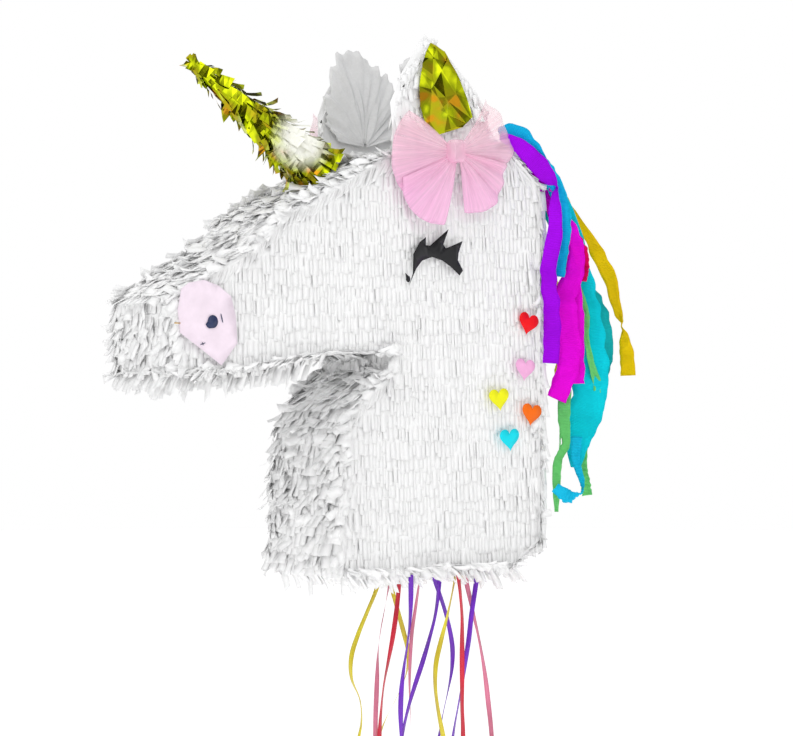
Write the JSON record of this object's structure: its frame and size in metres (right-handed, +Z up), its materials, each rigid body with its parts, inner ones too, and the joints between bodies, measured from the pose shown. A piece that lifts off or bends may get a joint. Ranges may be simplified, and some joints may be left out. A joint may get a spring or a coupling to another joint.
{
  "type": "pull-string pinata",
  "caption": "Hanging unicorn-head pinata: a hollow cardboard box under white tissue fringe, with a foil horn, ears, bows, a crepe mane, and ribbons below a trap door.",
  "frame": {"origin": "hanging hole on top of the crown, on the outer surface of the fringe, midway between the two sides", "axes": "+Z up; -X the way the muzzle points; +Y the unicorn's right side"},
  "size_m": [0.5544, 0.1792, 0.8796],
  "materials": {
    "cardboard": "matte",
    "white_tissue": "matte",
    "horn_paper": "matte",
    "gold_foil": "gloss",
    "pink_tulle": "matte",
    "black_film": "gloss",
    "nostril_card": "matte",
    "heart_red": "matte",
    "heart_pink": "matte",
    "heart_yellow": "matte",
    "heart_orange": "matte",
    "heart_turquoise": "matte",
    "crepe_turquoise": "matte",
    "crepe_purple": "matte",
    "crepe_sky": "matte",
    "crepe_magenta": "matte",
    "crepe_cyan": "matte",
    "crepe_yellow": "matte",
    "ribbon_red": "satin",
    "ribbon_yellow": "satin",
    "ribbon_pink": "satin",
    "ribbon_purple": "satin"
  },
  "bodies": {
    "head": {"left_side_panel": "cardboard", "right_side_panel": "cardboard", "nose_gusset": "cardboard", "brow_gusset": "cardboard", "crown_gusset": "cardboard", "nape_gusset": "cardboard", "base_panel": "cardboard", "throat_gusset": "cardboard", "jaw_gusset": "cardboard", "hanging_plate": "cardboard", "left_side_fringe": "white_tissue", "right_side_fringe": "white_tissue", "nose_fringe": "white_tissue", "brow_fringe": "white_tissue", "crown_fringe": "white_tissue", "nape_fringe": "white_tissue", "base_fringe": "white_tissue", "throat_fringe": "white_tissue", "jaw_fringe": "white_tissue", "horn_cone": "horn_paper", "horn_foil_fringe": "gold_foil", "left_ear_card": "cardboard", "left_ear_fringe": "white_tissue", "left_ear_foil": "gold_foil", "left_bow": "pink_tulle", "left_bow_knot": "pink_tulle", "left_eye": "black_film", "left_nostril_patch": "nostril_card", "right_ear_card": "cardboard", "right_ear_fringe": "white_tissue", "right_ear_foil": "gold_foil", "right_bow": "pink_tulle", "right_bow_knot": "pink_tulle", "right_eye": "black_film", "right_nostril_patch": "nostril_card", "heart_red": "heart_red", "heart_pink": "heart_pink", "heart_yellow": "heart_yellow", "heart_orange": "heart_orange", "heart_turquoise": "heart_turquoise", "mane_turquoise": "crepe_turquoise", "mane_purple": "crepe_purple", "mane_sky": "crepe_sky", "mane_magenta": "crepe_magenta", "mane_cyan": "crepe_cyan", "mane_yellow": "crepe_yellow", "ribbon_yellow_1": "ribbon_yellow", "ribbon_yellow_2": "ribbon_yellow", "ribbon_yellow_3": "ribbon_yellow", "ribbon_pink_1": "ribbon_pink", "ribbon_pink_2": "ribbon_pink", "ribbon_pink_3": "ribbon_pink", "ribbon_red": "ribbon_red", "ribbon_purple_1": "ribbon_purple", "ribbon_purple_2": "ribbon_purple", "ribbon_purple_3": "ribbon_purple", "ribbon_purple_4": "ribbon_purple"},
    "trap_door_flap": {"trap_door": "cardboard", "trap_door_fringe": "white_tissue"},
    "trigger_ribbon": {"ribbon_trigger_red": "ribbon_red"}
  },
  "joints": [
    {"name": "trap_door_hinge", "type": "hinge", "parent": "head", "child": "trap_door_flap", "pos_m": [0.095, 0, -0.4107], "axis": [0, -1, 0], "range_deg": [0, 90]},
    {"name": "trigger_ribbon_bend", "type": "hinge", "parent": "trap_door_flap", "child": "trigger_ribbon", "pos_m": [0.014, 0, -0.4216], "axis": [0, -1, 0], "range_deg": [-90, 0]}
  ],
  "couplings": [
    {"joint": "trigger_ribbon_bend", "follows": "trap_door_hinge", "ratio": -1}
  ]
}
